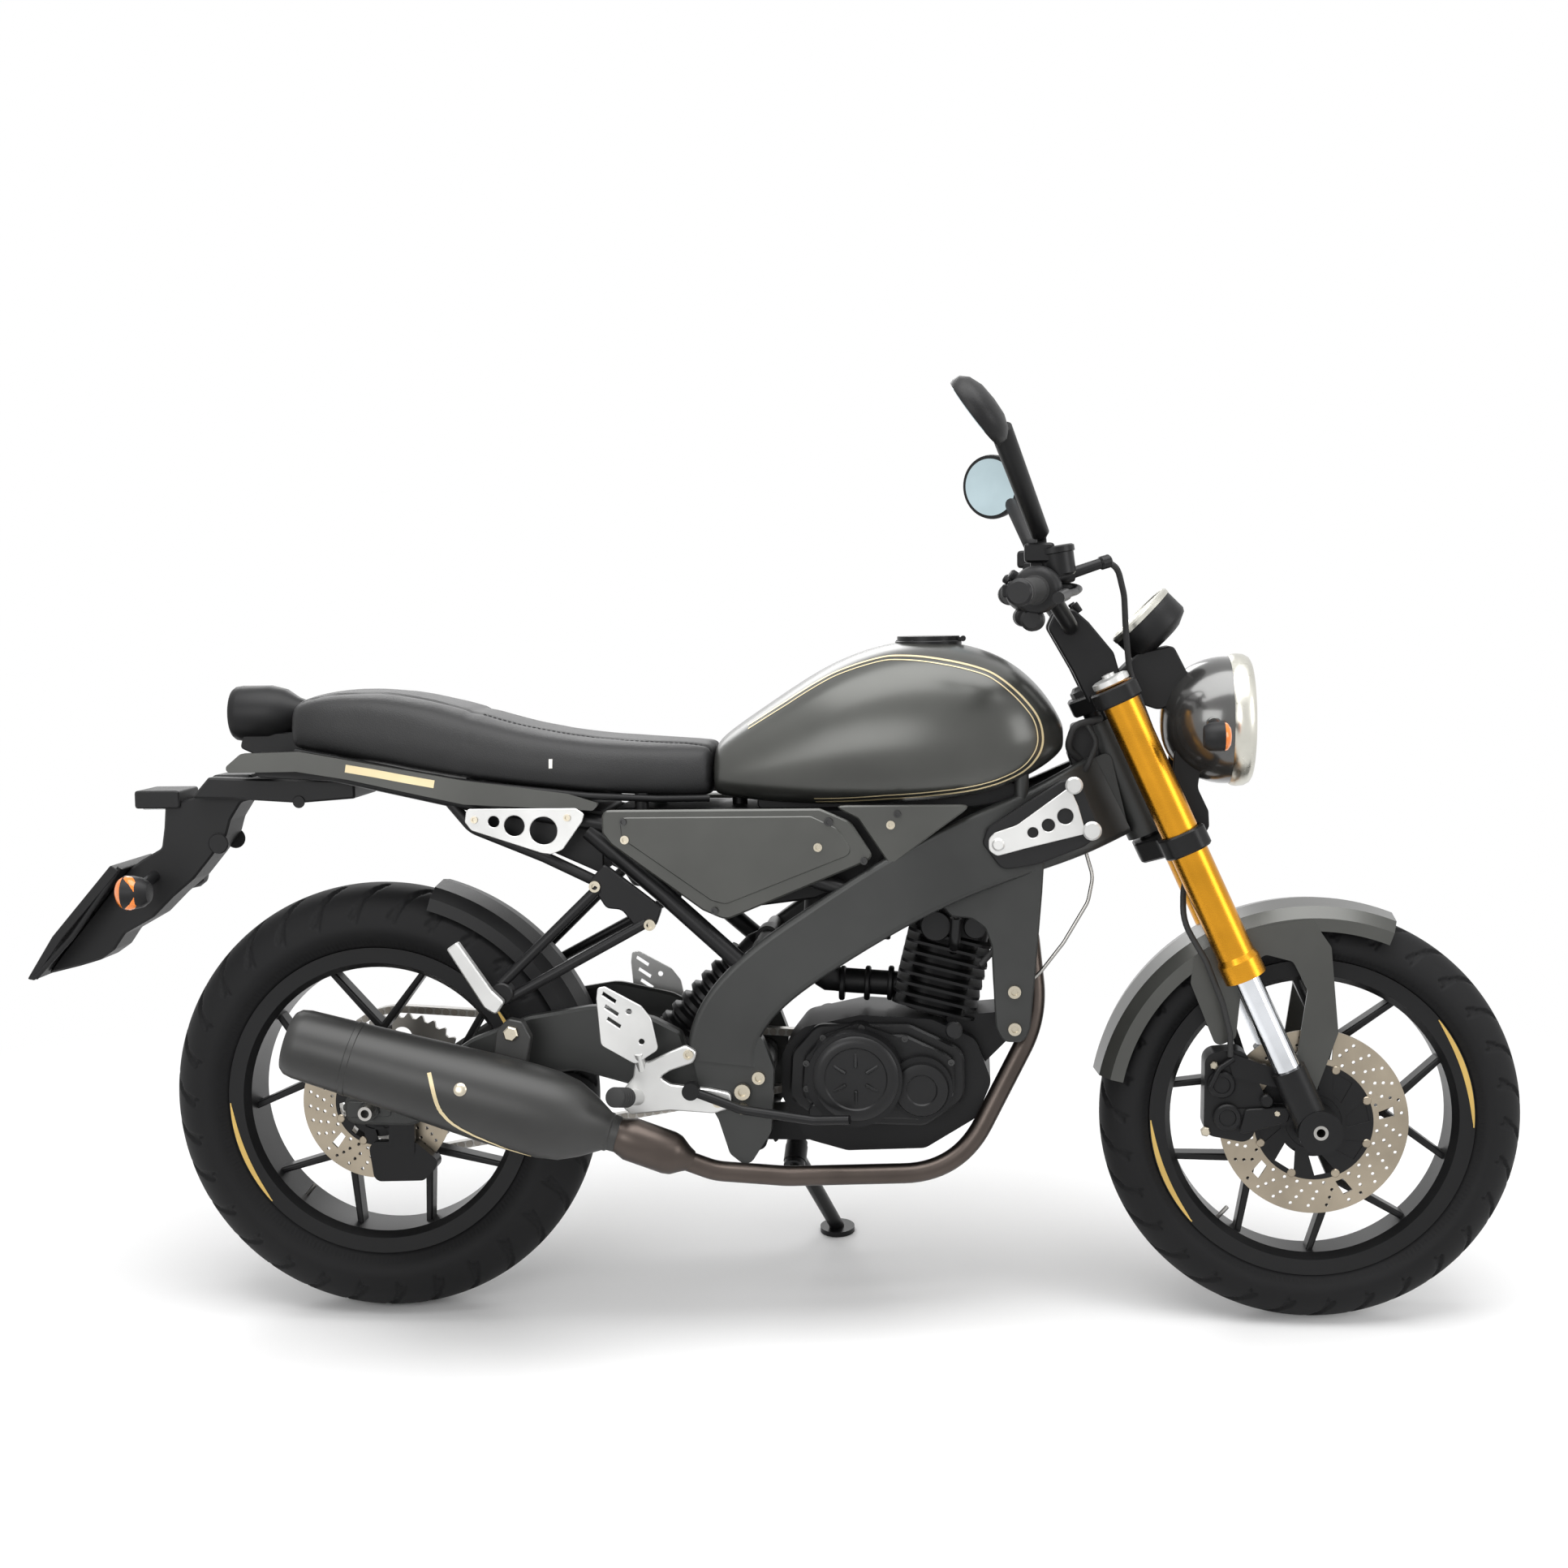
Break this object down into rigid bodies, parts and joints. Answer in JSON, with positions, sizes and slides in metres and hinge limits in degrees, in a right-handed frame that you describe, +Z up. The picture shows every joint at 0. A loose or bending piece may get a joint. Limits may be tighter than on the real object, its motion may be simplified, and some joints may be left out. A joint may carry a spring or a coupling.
{
  "type": "cafe racer motorcycle",
  "caption": "Light retro motorcycle with round headlamp, upside-down fork, cast wheels, bench seat and short muffler, leaning on its side stand.",
  "frame": {"origin": "on the floor under the middle of the whole machine's box", "axes": "+X towards the front wheel, +Y to the machine's left, +Z up; the machine leans 8 degrees towards +Y on its side stand"},
  "size_m": [2.1351, 0.8076, 1.3379],
  "materials": {
    "frame_grey": "satin dark grey frame paint",
    "body_grey": "satin metallic grey body paint",
    "black_metal": "satin black paint on castings",
    "engine_black": "matt black engine paint",
    "fork_gold": "gold anodised tube",
    "chrome": "hard chrome, polished",
    "steel": "plain brushed steel",
    "silver": "bright machined aluminium",
    "tyre_rubber": "black tyre rubber",
    "rubber": "soft black rubber",
    "black_plastic": "moulded black plastic",
    "seat_cover": "black grained cover",
    "glass": "clear lamp glass",
    "mirror_glass": "mirror glass",
    "exhaust_grey": "matt grey heat-proof coating",
    "pipe_steel": "heat-darkened steel"
  },
  "bodies": {
    "chassis": {"frame": "frame_grey", "engine_hangers": "frame_grey", "engine_case": "engine_black", "engine_covers": "engine_black", "cylinder": "engine_black", "exhaust_pipe": "pipe_steel", "muffler": "exhaust_grey", "subframe": "black_metal", "seat": "seat_cover", "tank": "body_grey", "side_covers": "body_grey", "tail_covers": "body_grey", "cover_brackets": "silver", "bracket_pads": "black_plastic", "tail_lamp": "black_plastic", "plate_hanger": "black_plastic", "rear_indicators": "black_plastic", "swingarm": "frame_grey", "pivot_bolt": "steel", "rear_axle": "steel", "rear_caliper": "black_metal", "hugger": "black_plastic", "chain": "steel", "drive_sprocket": "steel", "footrests": "silver", "foot_levers": "black_metal", "passenger_hangers": "black_metal", "stand_bracket": "black_metal", "shock": "black_metal"},
    "steering": {"yokes": "black_metal", "handlebar": "black_metal", "grips": "rubber", "switchgear": "black_plastic", "levers": "black_metal", "mirrors": "black_plastic", "mirror_glass": "mirror_glass", "fork_outers": "fork_gold", "fork_sliders": "chrome", "axle_clamps": "black_metal", "front_axle": "steel", "headlight": "black_metal", "headlight_rim": "silver", "headlight_lens": "glass", "lamp_brackets": "black_metal", "meter": "black_plastic", "front_indicators": "black_plastic", "front_fender": "body_grey", "front_caliper": "black_metal"},
    "front_wheel": {"front_tyre": "tyre_rubber", "front_rim": "black_metal", "front_disc": "steel"},
    "rear_wheel": {"rear_tyre": "tyre_rubber", "rear_rim": "black_metal", "rear_disc": "steel", "rear_sprocket": "steel"},
    "side_stand": {"side_stand": "black_metal"},
    "fuel_cap": {"fuel_cap": "black_metal"}
  },
  "joints": [
    {"name": "steering", "type": "hinge", "parent": "chassis", "child": "steering", "pos_m": [0.51845, -0.03685, 0.76389], "axis": [-0.4067, 0.1271, 0.9047], "range_deg": [-34, 34]},
    {"name": "front_spin", "type": "hinge", "parent": "steering", "child": "front_wheel", "pos_m": [0.77463, -0.10324, 0.29149], "axis": [0, 0.9903, -0.1392], "continuous": true},
    {"name": "rear_spin", "type": "hinge", "parent": "chassis", "child": "rear_wheel", "pos_m": [-0.55537, -0.10032, 0.31229], "axis": [0, 0.9903, -0.1392], "continuous": true},
    {"name": "stand_fold", "type": "hinge", "parent": "chassis", "child": "side_stand", "pos_m": [0.03463, 0.00011, 0.17901], "axis": [0.0578, 0.8068, 0.5881], "range_deg": [0, 95]},
    {"name": "cap_lid", "type": "hinge", "parent": "chassis", "child": "fuel_cap", "pos_m": [0.29363, -0.00884, 0.96319], "axis": [0, 0.9903, -0.1392], "range_deg": [0, 95]}
  ]
}
